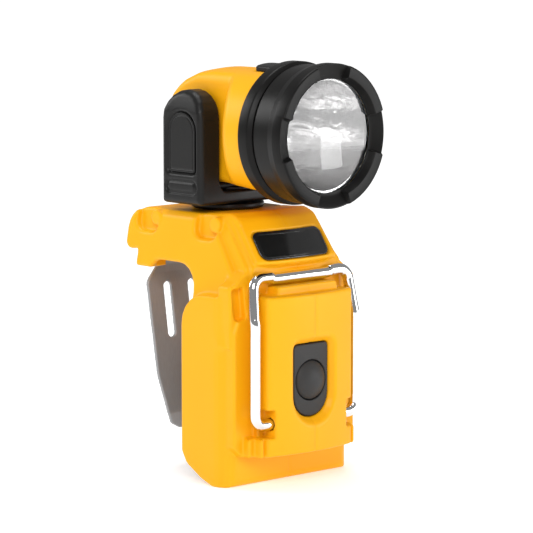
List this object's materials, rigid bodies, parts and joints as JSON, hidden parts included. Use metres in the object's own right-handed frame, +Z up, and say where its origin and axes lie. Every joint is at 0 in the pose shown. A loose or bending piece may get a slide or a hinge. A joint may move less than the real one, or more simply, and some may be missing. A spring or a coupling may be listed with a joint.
{
  "type": "cordless pivoting work light",
  "caption": "Cordless hand work light with a tilting lamp head on a swivelling yoke, a hinged wire bail, a push switch, a belt clip and an open battery bay.",
  "frame": {"origin": "middle of the bounding box, on the surface that the light stands on", "axes": "+Z up; the lens, the switch and the bail face -Y; +X is to the right when the light is seen from the front"},
  "size_m": [0.062, 0.0838, 0.15],
  "materials": {
    "yellow_nylon": "moulded nylon, satin gloss",
    "black_nylon": "moulded glass-filled nylon, satin",
    "black_rubber": "soft overmould, matt",
    "brushed_steel": "brushed spring steel",
    "chromed_wire": "polished",
    "clear_lens": "clear, polished",
    "mirror_reflector": "vacuum-coated, dimpled",
    "badge_black": "plain gloss badge",
    "circuit_board": "solder mask",
    "aluminium": "satin",
    "plated_copper": "plated contact",
    "emitter_yellow": "phosphor dome",
    "black_steel": "black oxide"
  },
  "bodies": {
    "body": {"left_shell": "yellow_nylon", "right_shell": "yellow_nylon", "shell_screw_1": "black_steel", "shell_screw_2": "black_steel", "shell_screw_3": "black_steel", "shell_screw_4": "black_steel", "label_plate": "badge_black", "switch_plate": "black_rubber", "switch_body": "black_nylon", "driver_board": "circuit_board", "board_capacitor": "aluminium", "board_inductor": "black_nylon", "battery_receiver": "black_nylon", "terminal_block": "black_nylon", "terminal_blade_1": "plated_copper", "terminal_blade_2": "plated_copper", "terminal_blade_3": "plated_copper", "terminal_blade_4": "plated_copper", "belt_clip": "brushed_steel", "clip_screw_1": "black_steel", "clip_screw_2": "black_steel"},
    "button": {"switch_button": "black_rubber"},
    "bail": {"bail_wire": "chromed_wire"},
    "yoke": {"yoke_frame": "black_nylon", "arm_pad_left": "black_rubber", "arm_pad_right": "black_rubber", "swivel_collar": "black_nylon", "swivel_shaft": "black_nylon", "swivel_washer": "brushed_steel", "swivel_nut": "brushed_steel"},
    "head": {"lamp_housing_left": "yellow_nylon", "lamp_housing_right": "yellow_nylon", "head_screw_1": "black_steel", "head_screw_2": "black_steel", "rear_collar": "black_nylon", "front_bezel": "black_nylon", "bezel_catch": "black_nylon", "lens": "clear_lens", "lens_seal": "black_rubber", "reflector": "mirror_reflector", "led_board": "circuit_board", "led_emitter": "emitter_yellow", "heat_sink": "aluminium", "tilt_pin_left": "brushed_steel", "tilt_pin_right": "brushed_steel", "tilt_washer_left": "black_rubber", "tilt_washer_right": "black_rubber"}
  },
  "joints": [
    {"name": "head_swivel", "type": "hinge", "parent": "body", "child": "yoke", "pos_m": [0, 0.01345, 0.0952], "axis": [0, 0, 1], "range_deg": [-90, 90]},
    {"name": "head_tilt", "type": "hinge", "parent": "yoke", "child": "head", "pos_m": [0, 0.01265, 0.1245], "axis": [-1, 0, 0], "range_deg": [-5, 90]},
    {"name": "bail_swing", "type": "hinge", "parent": "body", "child": "bail", "pos_m": [0, -0.02735, 0.0228], "axis": [1, 0, 0], "range_deg": [0, 180]},
    {"name": "switch_press", "type": "slide", "parent": "body", "child": "button", "axis": [0, 1, 0], "range_m": [0, 0.0012], "stiffness_N_per_m": 600}
  ]
}
